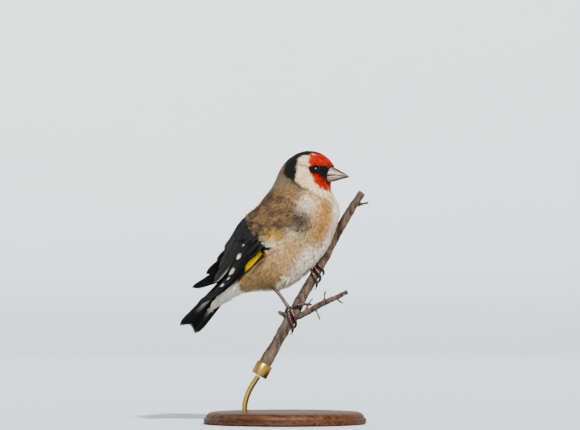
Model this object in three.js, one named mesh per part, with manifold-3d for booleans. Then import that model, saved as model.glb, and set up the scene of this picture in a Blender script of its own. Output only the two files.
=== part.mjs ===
// A European goldfinch at life size, perched on a cut stem that stands on a turned base.
// Millimetres. +X is the way the bird faces, +Y its left side, +Z up. The origin is the
// centre of the underside of the base.
import * as THREE from "three";
import { mergeVertices } from "three/addons/utils/BufferGeometryUtils.js";
import Module from "manifold-3d";

const wasm = await Module();
wasm.setup();

// Driving sizes
const GAP = 0.3;                       // the seam left between two touching pieces
const EYE_RADIUS = 2.5;
const EYE_PLACE = [20.7, 6.35, 137.6];
const BILL_TIP = [37.1, 0, 133.7];
const BILL_HALF_WIDTH = 3.3;
const BLADE_THICKNESS = 0.6;           // a feather of the wing or tail, as a solid
const TAIL_ROOT = [-27.5, 0, 83.6];
const TAIL_LENGTH = 41.2;              // from that root to the tips of the middle feathers
const TAIL_FORK = 3.2;                 // how much longer the outer feathers are
const TAIL_SPREAD = 5;                 // degrees from the middle to the outermost feather
const TAIL_ROLL = 33;                  // degrees that the right edge is turned up
const TAIL_DROOP = 47.5;               // degrees that the tail points below level
const TAIL_PAIRS = 6;
const PRIMARIES = 4;
const SECONDARIES = 4;
const LEFT_WING_LIFT = [-10.3, -3.2, 8.4];  // how the left wing tip stands off a mirrored one
const LEFT_WING_LIFT_CURVE = 0.8;           // below 1 the lift starts early along the wing
const TARSUS_RADIUS = 0.76;
const TOE_RADIUS = 0.68;
const CLAW_LENGTH = 4.0;
const STEM_RADIUS_LOW = 3.4;
const STEM_RADIUS_HIGH = 2.15;
const STEM_STEPS = 22;
const STEM_SIDES = 9;
const BASE_RADIUS = 44;
const BASE_HEIGHT = 6.5;
const ROD_RADIUS = 1.5;
const ROD_DEPTH = 4;                   // how far the rod goes down into the base

// Colours and finishes
const FINISH = {
  plumage: new THREE.MeshStandardMaterial({ color: "#a07c58", roughness: 0.9, metalness: 0 }),
  flight: new THREE.MeshStandardMaterial({ color: "#17161a", roughness: 0.6, metalness: 0 }),
  bill: new THREE.MeshStandardMaterial({ color: "#d9b9a8", roughness: 0.45, metalness: 0 }),
  eye: new THREE.MeshStandardMaterial({ color: "#0b0807", roughness: 0.08, metalness: 0 }),
  leg: new THREE.MeshStandardMaterial({ color: "#6b3a2e", roughness: 0.5, metalness: 0 }),
  claw: new THREE.MeshStandardMaterial({ color: "#2a1c18", roughness: 0.35, metalness: 0 }),
  bark: new THREE.MeshStandardMaterial({ color: "#5a4540", roughness: 0.85, metalness: 0 }),
  base: new THREE.MeshStandardMaterial({ color: "#3b2a20", roughness: 0.4, metalness: 0 }),
  brass: new THREE.MeshStandardMaterial({ color: "#a98d4f", roughness: 0.35, metalness: 1 }),
};

const goldfinch = new THREE.Group();
const radians = THREE.MathUtils.degToRad;
const mix = THREE.MathUtils.lerp;
const smooth = THREE.MathUtils.smoothstep;

function vector(list) {
  return new THREE.Vector3(...list);
}

// Joining and cutting

function solid(geometry) {
  const bare = geometry.index ? geometry.toNonIndexed() : geometry.clone();
  bare.deleteAttribute("normal");
  bare.deleteAttribute("uv");
  const merged = mergeVertices(bare, 1e-4);
  return new wasm.Manifold(new wasm.Mesh({
    numProp: 3,
    vertProperties: new Float32Array(merged.attributes.position.array),
    triVerts: new Uint32Array(merged.index.array),
  }));
}

function joined(pieces) {
  return pieces.reduce((whole, piece) => whole.add(piece));
}

// What is left of a body after the cuts, without the crumbs that a cut leaves behind
function without(body, cutters) {
  const rest = cutters.reduce((left, cutter) => left.subtract(cutter), body);
  return rest.decompose().reduce((most, crumb) => (crumb.volume() > most.volume() ? crumb : most));
}

function show(name, body, finish) {
  const mesh = body.getMesh();
  const geometry = new THREE.BufferGeometry();
  geometry.setAttribute("position", new THREE.BufferAttribute(mesh.vertProperties, 3));
  geometry.setIndex(new THREE.BufferAttribute(mesh.triVerts, 1));
  geometry.computeVertexNormals();
  const piece = new THREE.Mesh(geometry, finish);
  piece.name = name;
  goldfinch.add(piece);
}

// A closed surface through rings that all have the same number of points, with flat ends.
function loft(rings) {
  const sides = rings[0].length;
  const points = rings.flat();
  const faces = [];
  const last = (rings.length - 1) * sides;
  for (let ring = 0; ring < rings.length - 1; ring += 1) {
    for (let side = 0; side < sides; side += 1) {
      const a = ring * sides + side;
      const b = ring * sides + ((side + 1) % sides);
      faces.push([a, b, b + sides], [a, b + sides, a + sides]);
    }
  }
  for (const [start, turn] of [[0, 1], [last, -1]]) {
    const middle = points.length;
    const centre = new THREE.Vector3();
    for (let side = 0; side < sides; side += 1) {
      centre.addScaledVector(points[start + side], 1 / sides);
      const here = start + side;
      const next = start + ((side + 1) % sides);
      faces.push(turn > 0 ? [middle, next, here] : [middle, here, next]);
    }
    points.push(centre);
  }
  let volume = 0;
  for (const [a, b, c] of faces) {
    volume += points[a].dot(new THREE.Vector3().crossVectors(points[b], points[c]));
  }
  const facing = volume < 0 ? faces.map(([a, b, c]) => [a, c, b]) : faces;
  const geometry = new THREE.BufferGeometry().setFromPoints(points);
  geometry.setIndex(facing.flat());
  return solid(geometry);
}

// A round limb along a curve; radiusAt gives its radius from 0 at the start to 1 at the end.
function limb(path, radiusAt, steps, sides = 8) {
  const curve = new THREE.CatmullRomCurve3(path, false, "centripetal");
  const frames = curve.computeFrenetFrames(steps, false);
  const rings = [];
  for (let step = 0; step <= steps; step += 1) {
    const along = step / steps;
    const centre = curve.getPointAt(along);
    const radius = radiusAt(along);
    const ring = [];
    for (let side = 0; side < sides; side += 1) {
      const turn = (2 * Math.PI * side) / sides;
      ring.push(centre.clone()
        .addScaledVector(frames.normals[step], radius * Math.cos(turn))
        .addScaledVector(frames.binormals[step], radius * Math.sin(turn)));
    }
    rings.push(ring);
  }
  return loft(rings);
}

// The body, as feathered: [dorsal x, dorsal z, ventral x, ventral z, half width]
const STATIONS = {
  covertsTip: [-43.4, 65.0, -44.4, 60.2, 2.6],
  covertsMiddle: [-36.2, 73.5, -35.1, 64.6, 6.5],
  vent: [-30.3, 83.2, -24.6, 70.0, 10.5],
  rump: [-25.5, 94.1, -13.6, 71.1, 15],
  loins: [-21.2, 105.4, -1.2, 72.4, 19],
  back: [-15.8, 116.8, 11.2, 81.1, 21.5],
  mantle: [-10.5, 123.8, 22.0, 91.9, 22],
  shoulders: [-6.9, 127.8, 28.2, 104.3, 21.2],
  breast: [-5.2, 130.3, 31.1, 115.7, 18.2],
  nape: [-3.6, 134.3, 28.3, 122.4, 14.2],
  throat: [-1.4, 138.9, 25.9, 127.0, 12.3],
  ear: [3.6, 144.3, 25.5, 128.6, 11.2],
  crown: [10.8, 147.6, 26.0, 130.0, 9.6],
  forecrown: [18.7, 147.1, 26.8, 130.5, 7.9],
  forehead: [24.3, 143.8, 27.5, 130.9, 5.7],
  billBase: [28.2, 139.2, 27.9, 131.4, 3.9],
};
const STATION_NAMES = Object.keys(STATIONS);
const BODY_SIDES = 22;
const BODY_FULLNESS = 0.94;            // below 1 squares the section slightly

function stationAt(place) {
  const rows = STATION_NAMES.map((name) => STATIONS[name]);
  const index = Math.min(Math.floor(place), rows.length - 2);
  const t = place - index;
  const row = (i) => rows[THREE.MathUtils.clamp(i, 0, rows.length - 1)];
  return row(index).map((p1, k) => {
    const p0 = row(index - 1)[k];
    const p2 = row(index + 1)[k];
    const p3 = row(index + 2)[k];
    const bend = (2 * p0 - 5 * p1 + 4 * p2 - p3) * t + (3 * p1 - p0 - 3 * p2 + p3) * t * t;
    return p1 + 0.5 * t * (p2 - p0 + bend);
  });
}

function bodyRing(place, shift = 0) {
  const [dorsalX, dorsalZ, ventralX, ventralZ, halfWidth] = stationAt(place);
  const up = new THREE.Vector3((dorsalX - ventralX) / 2, 0, (dorsalZ - ventralZ) / 2);
  const centre = new THREE.Vector3((dorsalX + ventralX) / 2, 0, (dorsalZ + ventralZ) / 2);
  const forward = new THREE.Vector3(up.z, 0, -up.x).normalize();
  centre.addScaledVector(forward, shift);
  const round = (value) => Math.sign(value) * Math.abs(value) ** BODY_FULLNESS;
  const ring = [];
  for (let side = 0; side < BODY_SIDES; side += 1) {
    const turn = (2 * Math.PI * side) / BODY_SIDES;
    const point = centre.clone().addScaledVector(up, round(Math.cos(turn)));
    point.y = halfWidth * round(Math.sin(turn));
    ring.push(point);
  }
  return ring;
}

// The length of the body between two named stations, with a seam's half at each inner end.
function bodyPart(from, to, steps) {
  const start = STATION_NAMES.indexOf(from);
  const end = STATION_NAMES.indexOf(to);
  const rings = [];
  for (let step = 0; step <= steps; step += 1) {
    const shift = step === 0 ? GAP / 2 : step === steps ? -GAP / 2 : 0;
    rings.push(bodyRing(mix(start, end, step / steps), shift));
  }
  return loft(rings);
}

// The bill: two mandibles that meet along the gape, each from inside the face to its tip

const BILL_ROOT_X = 24.8;
const CULMEN_HEIGHT = 139.2;
const GAPE_HEIGHT = 133.9;
const GONYS_HEIGHT = 131.3;

function mandible(upper, extra = 0) {
  const rings = [];
  const steps = 5;
  const sides = 8;
  const turn0 = upper ? 0 : Math.PI;
  for (let step = 0; step <= steps; step += 1) {
    const t = step / steps;
    const x = mix(BILL_ROOT_X, BILL_TIP[0] - (upper ? 0 : 0.9), t);
    const gape = mix(GAPE_HEIGHT - 0.6, BILL_TIP[2], Math.min(1, t * 1.3));
    const taper = (1 - t) ** 0.85;
    const width = BILL_HALF_WIDTH * taper + 0.12 + extra * 1.3;
    const height = upper
      ? (CULMEN_HEIGHT - GAPE_HEIGHT) * (1 - t ** 1.35) + 0.2 + 2 * extra
      : (GAPE_HEIGHT - GONYS_HEIGHT) * (1 - t ** 1.7) + 0.15 + 2 * extra;
    const level = gape + (upper ? GAP / 2 : -GAP / 2) + (upper ? -extra : extra);
    const ring = [];
    for (let side = 0; side < sides; side += 1) {
      const turn = turn0 + (Math.PI * side) / (sides - 1);
      const rise = Math.sin(turn) * height;
      ring.push(new THREE.Vector3(x, Math.cos(turn) * width, level + rise));
    }
    if (step === 0 && extra > 0) {
      rings.push(ring.map((point) => point.clone().setX(x - extra)));
    }
    rings.push(ring);
  }
  return loft(rings);
}

function ball(place, radius, detail = 6) {
  const geometry = new THREE.SphereGeometry(radius, 2 * detail, detail);
  geometry.translate(...place);
  return solid(geometry);
}

// The folded wing is a curved strip between its lower edge, the long outer feathers' edge,
// and its upper edge on the back. Each row: along, lower x y z, upper x y z, crown of the curve
const WING_ROWS = [
  [-0.75, 18.5, -18.6, 111.0, 6.5, -16.6, 122.8, 1.6],
  [-0.35, 8.0, -21.6, 101.5, -13.5, -11.0, 119.4, 3.4],
  [0.0, -4.0, -20.4, 94.6, -26.2, -5.2, 110.0, 4.6],
  [0.25, -16.0, -17.6, 83.4, -31.6, -5.0, 99.4, 3.6],
  [0.5, -27.0, -14.4, 75.3, -35.6, -5.0, 89.2, 2.6],
  [0.75, -37.3, -13.0, 69.6, -38.4, -7.0, 79.2, 1.6],
  [1.0, -46.9, -13.4, 65.8, -44.4, -11.0, 71.4, 0.8],
];

function wingRow(along) {
  const last = WING_ROWS.length - 2;
  const found = WING_ROWS.findIndex((row, i) => i <= last && along <= WING_ROWS[i + 1][0]);
  const index = found < 0 ? last : found;
  const start = WING_ROWS[index];
  const end = WING_ROWS[index + 1];
  const t = (along - start[0]) / (end[0] - start[0]);
  return start.map((value, k) => mix(value, end[k], t));
}

// A point of the right wing's outer face: across runs from 0 at the lower edge to 1 at the
// upper; depth is how far it lies under that face.
function wingPoint(along, across, depth, side) {
  const row = wingRow(along);
  const lower = vector(row.slice(1, 4));
  const upper = vector(row.slice(4, 7));
  const ahead = wingRow(along + 0.02);
  const step = vector(ahead.slice(1, 4)).lerp(vector(ahead.slice(4, 7)), across)
    .sub(lower.clone().lerp(upper, across));
  const out = new THREE.Vector3().crossVectors(upper.clone().sub(lower), step).normalize();
  if (out.y > 0) {
    out.negate();
  }
  const point = lower.clone().lerp(upper, across);
  point.addScaledVector(out, row[7] * Math.sin(Math.PI * THREE.MathUtils.clamp(across, 0, 1)) - depth);
  if (side > 0) {
    point.y = -point.y;
    point.addScaledVector(vector(LEFT_WING_LIFT), smooth(along, -0.1, 1.1) ** LEFT_WING_LIFT_CURVE);
  }
  return point;
}

function wingSpan(along) {
  const row = wingRow(along);
  return vector(row.slice(1, 4)).distanceTo(vector(row.slice(4, 7)));
}

// One long feather lying in the wing: a thin curved blade with a round tip
const BLADE_STEPS = [[0, 0.6], [0.45, 1], [0.86, 0.88], [1, 0.2]];

function wingBlade(root, tip, halfWidth, depth, side) {
  const rings = BLADE_STEPS.map(([t, share]) => {
    const along = mix(root[0], tip[0], t);
    const middle = mix(root[1], tip[1], t);
    const half = (halfWidth * share) / wingSpan(along);
    const at = (offset, under) => wingPoint(along, middle + offset, depth + under, side);
    return [
      at(-half, 0), at(0, 0), at(half, 0),
      at(half, BLADE_THICKNESS), at(0, BLADE_THICKNESS), at(-half, BLADE_THICKNESS),
    ];
  });
  return loft(rings);
}

// A row of such feathers, each a little under the one before it
function featherRow(count, first, last, firstDepth, side) {
  const blades = [];
  for (let i = 0; i < count; i += 1) {
    const t = i / (count - 1);
    const root = [mix(first.root[0], last.root[0], t), mix(first.root[1], last.root[1], t)];
    const tip = [mix(first.tip[0], last.tip[0], t), mix(first.tip[1], last.tip[1], t)];
    const halfWidth = mix(first.halfWidth, last.halfWidth, t);
    blades.push(wingBlade(root, tip, halfWidth, firstDepth + ROW_STEP * i, side));
  }
  return joined(blades);
}

// A sheet of the wing between two depths, used for the coverts and for the room a wing needs
function wingSheet(rows, side) {
  const points = 5;
  return loft(rows.map(([along, low, high, top, bottom]) => {
    const ring = [];
    for (let i = 0; i < points; i += 1) {
      ring.push(wingPoint(along, mix(low, high, i / (points - 1)), top, side));
    }
    for (let i = points - 1; i >= 0; i -= 1) {
      ring.push(wingPoint(along, mix(low, high, i / (points - 1)), bottom, side));
    }
    return ring;
  }));
}

const COVERTS_DEPTH = 0.9;
const LAYER_GAP = 0.65;                // flat facets need more room than a seam between layers
const ROW_STEP = 0.13;                 // each feather of a row lies this much under the last
const SECONDARIES_DEPTH = COVERTS_DEPTH + LAYER_GAP;
const PRIMARIES_DEPTH = SECONDARIES_DEPTH + BLADE_THICKNESS + ROW_STEP * (SECONDARIES - 1) + LAYER_GAP;
const WING_DEPTH = PRIMARIES_DEPTH + BLADE_THICKNESS + ROW_STEP * (PRIMARIES - 1) + LAYER_GAP;
const COVERTS_ROWS = [
  [-0.74, 0.3, 0.7, 0.3, 1.0],
  [-0.66, 0.06, 0.94, 0, 1.9],
  [-0.45, 0, 1, 0, 2.3],
  [-0.2, 0, 1, 0, 2.0],
  [-0.02, 0, 1, 0, COVERTS_DEPTH],
  [0.14, 0.06, 0.96, 0, COVERTS_DEPTH],
  [0.25, 0.2, 0.84, 0, COVERTS_DEPTH],
  [0.31, 0.42, 0.66, 0, COVERTS_DEPTH - 0.4],
];
const ROOM_ROWS = [
  [-0.77, 0.2, 0.8, -7, 1.4],
  [-0.68, 0, 1, -7, 2.4],
  [-0.45, -0.03, 1.03, -7, 2.8],
  [-0.1, -0.03, 1.03, -7, WING_DEPTH],
  [0.1, -0.03, 1.03, -7, WING_DEPTH],
  [0.4, -0.04, 1.04, -7, WING_DEPTH],
  [0.7, -0.06, 1.06, -7, WING_DEPTH],
  [1.06, -0.1, 1.1, -7, WING_DEPTH],
];

const SECONDARIES_REACH = { right: 0.74, left: 0.5 };  // the left ones are tucked in

function wing(name, side) {
  const reach = SECONDARIES_REACH[name];
  show(`wing_${name}_coverts`, wingSheet(COVERTS_ROWS, side), FINISH.plumage);
  const secondaries = featherRow(
    SECONDARIES,
    { root: [0.0, 0.82], tip: [reach, 0.84], halfWidth: 4.6 },
    { root: [0.0, 0.3], tip: [reach - 0.14, 0.36], halfWidth: 4.6 },
    SECONDARIES_DEPTH,
    side,
  );
  const primaries = featherRow(
    PRIMARIES,
    { root: [0.02, 0.44], tip: [0.76, 0.4], halfWidth: 3.4 },
    { root: [0.02, 0.15], tip: [1.0, 0.14], halfWidth: 3.0 },
    PRIMARIES_DEPTH,
    side,
  );
  show(`wing_${name}_secondaries`, secondaries, FINISH.flight);
  show(`wing_${name}_primaries`, primaries, FINISH.flight);
}

// The tail: pairs of feathers fanned a little, the middle pair on top and the outer ones longer

const tailBack = new THREE.Vector3(-Math.cos(radians(TAIL_DROOP)), 0, -Math.sin(radians(TAIL_DROOP)));
const tailRight = new THREE.Vector3(0, -1, 0).applyAxisAngle(tailBack, radians(TAIL_ROLL));
const tailUp = new THREE.Vector3().crossVectors(tailBack, tailRight).normalize();
if (tailUp.z < 0) {
  tailUp.negate();
}

function tailBlade(order, side) {
  const share = (order + 0.5) / TAIL_PAIRS;
  const fan = radians(TAIL_SPREAD * share) * side;
  const aim = tailBack.clone().multiplyScalar(Math.cos(fan)).addScaledVector(tailRight, Math.sin(fan));
  const acrossAim = new THREE.Vector3().crossVectors(tailUp, aim).normalize();
  const length = TAIL_LENGTH + TAIL_FORK * share ** 1.5;
  const level = -0.22 * order + (side > 0 ? 0 : -0.08);
  const root = vector(TAIL_ROOT).addScaledVector(tailRight, 2.6 * share * side)
    .addScaledVector(tailUp, level);
  const halfWidth = 2.5;
  const thick = BLADE_THICKNESS / 2;
  const rings = BLADE_STEPS.map(([t, wide]) => {
    const centre = root.clone().addScaledVector(aim, length * t);
    const half = halfWidth * wide;
    const at = (offset, height) => centre.clone().addScaledVector(acrossAim, offset)
      .addScaledVector(tailUp, height - 0.1 * Math.abs(offset));
    const under = [at(-half, -thick), at(0, -thick), at(half, -thick)];
    return [...under, at(half, thick), at(0, thick), at(-half, thick)];
  });
  return loft(rings);
}

function tailFeathers() {
  const blades = [];
  for (let order = 0; order < TAIL_PAIRS; order += 1) {
    blades.push(tailBlade(order, 1), tailBlade(order, -1));
  }
  return joined(blades);
}

// The slot in the rump that the feathers' roots come out of
const TAIL_ROOM_ENDS = [-1.6, 34];
const TAIL_ROOT_HALF_WIDTH = 5.6;
const TAIL_ROOM_UNDER = 2.8;
const TAIL_ROOM_OVER = 0.9;

function tailRoom() {
  const rings = TAIL_ROOM_ENDS.map((length) => {
    const half = TAIL_ROOT_HALF_WIDTH + GAP + length * Math.sin(radians(TAIL_SPREAD));
    const at = (across, height) => vector(TAIL_ROOT).addScaledVector(tailBack, length)
      .addScaledVector(tailRight, across).addScaledVector(tailUp, height);
    return [
      at(-half, -TAIL_ROOM_UNDER), at(half, -TAIL_ROOM_UNDER),
      at(half, TAIL_ROOM_OVER), at(-half, TAIL_ROOM_OVER),
    ];
  });
  return loft(rings);
}

// The stem that the bird grips, and its side branch
const STEM_PATH = [
  [-8.9, -14.0, 28.5], [-5.6, -12.7, 35.0], [0.8, -9.8, 47.0], [6.3, -6.3, 58.4], [11.5, 0.0, 71.4],
  [17.4, 7.8, 85.4], [22.6, 15.4, 99.5], [28.9, 17.8, 111.9], [37.4, 18.4, 124.8],
].map(vector);
const BRANCH_PATH = [
  [7.5, -6.0, 57.6], [13.4, -6.6, 59.8], [23.2, -7.4, 64.9], [31.4, -8.0, 68.3], [38.6, -8.6, 71.8],
];
const stemCurve = new THREE.CatmullRomCurve3(STEM_PATH, false, "centripetal");

function stemRadius(along) {
  const knot = 0.28 * Math.exp(-(((along - 0.34) / 0.045) ** 2));
  return mix(STEM_RADIUS_LOW, STEM_RADIUS_HIGH, along) + knot + 0.12 * Math.sin(along * 31);
}

function twig(path, startRadius, endRadius, steps = 3, sides = 5) {
  return limb(path.map(vector), (t) => mix(startRadius, endRadius, t), steps, sides);
}

function perch() {
  const stem = limb(STEM_PATH, stemRadius, STEM_STEPS, STEM_SIDES);
  const branchRadius = (t) => mix(1.95, 1.25, t) + 0.22 * Math.exp(-(((t - 0.46) / 0.05) ** 2));
  const branch = limb(BRANCH_PATH.map(vector), branchRadius, 8, 7);
  const bract = twig([[5.4, -6.6, 57.6], [2.0, -7.6, 59.6], [-0.9, -8.2, 60.8]], 2.2, 0.9, 3, 6);
  const spurs = [
    [[[24.4, -7.5, 65.2], [25.3, -7.7, 68.6], [26.0, -7.6, 72.2]], 0.95, 0.5],
    [[[13.6, -6.7, 60.2], [15.6, -6.9, 64.0], [18.6, -7.6, 68.4]], 0.75, 0.6],
    [[[20.0, -7.2, 62.9], [21.9, -8.4, 59.6], [23.9, -9.4, 56.0]], 0.75, 0.45],
    [[[32.0, -8.0, 68.5], [34.4, -9.0, 66.6], [36.6, -9.6, 65.6]], 0.7, 0.4],
    [[[32.6, 18.0, 117.4], [36.2, 19.6, 118.6], [40.4, 20.6, 119.4]], 1.1, 0.7],
  ];
  const stubs = spurs.map(([path, startRadius, endRadius]) => twig(path, startRadius, endRadius));
  return joined([stem, branch, bract, ...stubs]);
}

// Where the stem is gripped: its centre at a height, and the directions round it.
function grip(height) {
  let low = 0;
  let high = 1;
  for (let i = 0; i < 24; i += 1) {
    const middle = (low + high) / 2;
    if (stemCurve.getPointAt(middle).z < height) {
      low = middle;
    } else {
      high = middle;
    }
  }
  const centre = stemCurve.getPointAt(low);
  const along = stemCurve.getTangentAt(low);
  const near = new THREE.Vector3(0, -1, 0).addScaledVector(along, along.y).normalize();
  const ahead = new THREE.Vector3().crossVectors(along, near).normalize();
  return { centre, near, ahead, radius: stemRadius(low) };
}

function onStem(height, degrees, clearance) {
  const { centre, near, ahead, radius } = grip(height);
  const out = near.clone().multiplyScalar(Math.cos(radians(degrees)))
    .addScaledVector(ahead, Math.sin(radians(degrees)));
  return centre.clone().addScaledVector(out, radius + clearance);
}

// A toe runs round the stem from one bearing to another, and its claw goes on from its tip.
function toePath(toe) {
  const points = [];
  const steps = 9;
  for (let step = 0; step <= steps; step += 1) {
    const t = step / steps;
    const height = mix(toe.height, toe.endHeight, t ** 0.9);
    const lift = TOE_RADIUS + GAP + 0.18 * Math.sin(Math.PI * t) + toe.lift * t;
    points.push(onStem(height, mix(toe.from, toe.to, t), lift));
  }
  return points;
}

function toeRadius(t) {
  const joints = 0.07 * Math.cos(t * Math.PI * 6);
  return TOE_RADIUS * (1 - 0.22 * t) + joints * (1 - t);
}

function toeLimb(toe, extra = 0) {
  return limb(toePath(toe), (t) => toeRadius(t) + extra, 7, 6);
}

function clawPath(toe, path) {
  const tip = path[path.length - 1];
  const aim = tip.clone().sub(path[path.length - 2]).normalize();
  const { centre } = grip(toe.endHeight);
  const inward = centre.clone().sub(tip);
  inward.addScaledVector(aim, -inward.dot(aim)).normalize();
  const start = tip.clone().addScaledVector(aim, GAP);
  const points = [];
  for (let step = 0; step <= 4; step += 1) {
    const t = step / 4;
    const bend = toe.lift > 0 ? 0.9 : 0.34;
    points.push(start.clone().addScaledVector(aim, CLAW_LENGTH * Math.sin(t * 1.25) / 1.25)
      .addScaledVector(inward, CLAW_LENGTH * bend * t * t - 0.25 * Math.sin(Math.PI * t)));
  }
  return points;
}

const TOES = {
  right: [
    { name: "inner", height: 62.2, endHeight: 66.4, from: -2, to: 78, lift: 2.6 },
    { name: "middle", height: 60.2, endHeight: 54.4, from: -6, to: 122, lift: 0 },
    { name: "outer", height: 58.4, endHeight: 52.2, from: -16, to: 96, lift: 0 },
    { name: "hind", height: 60.0, endHeight: 57.6, from: -66, to: -182, lift: 0 },
  ],
  left: [
    { name: "inner", height: 81.2, endHeight: 76.4, from: -34, to: 96, lift: 0 },
    { name: "middle", height: 83.2, endHeight: 79.2, from: -30, to: 116, lift: 0 },
    { name: "outer", height: 85.2, endHeight: 83.0, from: -34, to: 104, lift: 0 },
    { name: "hind", height: 83.6, endHeight: 81.4, from: -104, to: -214, lift: 0 },
  ],
};
const FOOT_JOINT = {
  right: onStem(60.6, -34, 1.35),
  left: onStem(82.6, -62, 1.3),
};
const ANKLE = {
  right: vector([-2.2, -8.0, 72.4]),
  left: vector([9.0, 7.2, 88.4]),
};

function foot(side) {
  for (const toe of TOES[side]) {
    const path = toePath(toe);
    show(`toe_${side}_${toe.name}`, toeLimb(toe), FINISH.leg);
    const claw = limb(clawPath(toe, path), (t) => mix(0.5, 0.1, t), 4, 5);
    show(`claw_${side}_${toe.name}`, claw, FINISH.claw);
  }
}

function tarsus(side, extra = 0) {
  const joint = FOOT_JOINT[side];
  const shin = ANKLE[side].clone().sub(joint).normalize();
  const path = [
    joint.clone(),
    joint.clone().addScaledVector(shin, 1.6),
    joint.clone().lerp(ANKLE[side], 0.55).add(new THREE.Vector3(0.25, 0, 0.1)),
    ANKLE[side].clone().addScaledVector(shin, 0.8),
  ];
  const swelling = (t) => 0.34 * Math.exp(-((t / 0.13) ** 2)) + 0.25 * smooth(t, 0.7, 0.95);
  return limb(path, (t) => TARSUS_RADIUS + swelling(t) + extra, 8, 7);
}

// The feathered thigh shows on the right only; the belly's feathers hide the left one.
function thigh(extra = 0) {
  const root = vector([3.4, -9.4, 81.5]);
  const shin = ANKLE.right.clone().sub(FOOT_JOINT.right).normalize();
  const start = ANKLE.right.clone().addScaledVector(shin, -1.2);
  const path = [start, start.clone().lerp(root, 0.5).add(new THREE.Vector3(-0.3, 0, 0)), root];
  return limb(path, (t) => mix(1.5, 5.2, t ** 0.8) + extra, 5, 10);
}

// The stand: a turned base and one bent rod that carries the stem in a short sleeve

function turned(profile, sides) {
  const geometry = new THREE.LatheGeometry(profile.map(([r, z]) => new THREE.Vector2(r, z)), sides);
  geometry.rotateX(Math.PI / 2);
  return solid(geometry);
}

const stemFoot = STEM_PATH[0];
const stemAim = stemCurve.getTangentAt(0);
const rodTop = stemFoot.clone().addScaledVector(stemAim, -GAP);
const rodFoot = rodTop.clone().addScaledVector(stemAim, -11);
const SLEEVE_UNDER = 2.2;
const SLEEVE_OVER = 5;
const SLEEVE_WALL = 0.9;

function rod(extra = 0) {
  const bottom = new THREE.Vector3(rodFoot.x - 3, rodFoot.y - 1, BASE_HEIGHT - ROD_DEPTH - extra);
  const path = [
    bottom,
    new THREE.Vector3(bottom.x, bottom.y, BASE_HEIGHT),
    new THREE.Vector3(bottom.x + 0.2, bottom.y, BASE_HEIGHT + 5),
    rodFoot.clone().add(new THREE.Vector3(-0.6, 0, 0)),
    rodTop.clone().addScaledVector(stemAim, -SLEEVE_UNDER - GAP),
  ];
  return limb(path, () => ROD_RADIUS + extra, 12, 10);
}

function sleeve() {
  const outer = stemRadius(0) + GAP + SLEEVE_WALL;
  const bottom = rodTop.clone().addScaledVector(stemAim, -SLEEVE_UNDER);
  const lip = stemFoot.clone().addScaledVector(stemAim, SLEEVE_OVER);
  const flare = (t) => mix(outer - 0.4, outer, smooth(t, 0, 0.2));
  const shape = limb([bottom, rodTop, stemFoot, lip], flare, 4, 12);
  const bore = limb(
    [rodTop.clone(), lip.clone().addScaledVector(stemAim, 2)],
    (t) => stemRadius(0) + GAP + 0.1,
    2,
    12,
  );
  return shape.subtract(bore);
}

function base() {
  const edge = BASE_RADIUS;
  const profile = [
    [0, 0], [edge - 0.8, 0], [edge, 0.8], [edge, 3.0], [edge - 1.1, 3.6],
    [edge - 2.0, 5.4], [edge - 4.4, BASE_HEIGHT], [0, BASE_HEIGHT],
  ];
  return turned(profile, 32).subtract(rod(GAP));
}

// Putting the pieces together

const rooms = [wingSheet(ROOM_ROWS, -1), wingSheet(ROOM_ROWS, 1)];
const stemRoom = limb(STEM_PATH, (t) => stemRadius(t) + GAP, STEM_STEPS, STEM_SIDES);
const legRooms = [thigh(GAP), tarsus("right", GAP), tarsus("left", GAP)];
const toeRooms = TOES.left.map((toe) => toeLimb(toe, GAP));
const eyePlaces = {
  right: [EYE_PLACE[0], -EYE_PLACE[1], EYE_PLACE[2]],
  left: EYE_PLACE,
};
const faceRooms = [
  ball(eyePlaces.right, EYE_RADIUS + GAP), ball(eyePlaces.left, EYE_RADIUS + GAP),
  mandible(true, GAP), mandible(false, GAP),
];

show("head", without(bodyPart("throat", "billBase", 9), faceRooms), FINISH.plumage);
show("neck", without(bodyPart("breast", "throat", 4), rooms), FINISH.plumage);
const trunkRooms = [...rooms, ...legRooms, ...toeRooms, stemRoom];
show("trunk", without(bodyPart("rump", "breast", 12), trunkRooms), FINISH.plumage);
show("rump", without(bodyPart("covertsTip", "rump", 8), [...rooms, tailRoom()]), FINISH.plumage);
show("tail", tailFeathers(), FINISH.flight);
wing("right", -1);
wing("left", 1);
show("bill_upper", mandible(true), FINISH.bill);
show("bill_lower", mandible(false), FINISH.bill);
show("eye_right", ball(eyePlaces.right, EYE_RADIUS), FINISH.eye);
show("eye_left", ball(eyePlaces.left, EYE_RADIUS), FINISH.eye);
show("thigh_right", without(thigh(), [tarsus("right", GAP)]), FINISH.plumage);
for (const side of ["right", "left"]) {
  show(`tarsus_${side}`, tarsus(side), FINISH.leg);
  foot(side);
}
show("perch", perch(), FINISH.bark);
show("stand_sleeve", sleeve(), FINISH.brass);
show("stand_rod", rod(), FINISH.brass);
show("stand_base", base(), FINISH.base);

export default goldfinch;
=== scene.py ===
# %% [markdown]
# # A goldfinch on its stem
# A life-size European goldfinch, as a museum would mount it, gripping a cut stem on a turned base.
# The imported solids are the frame: every piece below is made round them, in the same place and size.

# %% Load the frame
import math
import bpy
import numpy as np
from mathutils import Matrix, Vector, kdtree, noise
from mathutils.bvhtree import BVHTree


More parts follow.
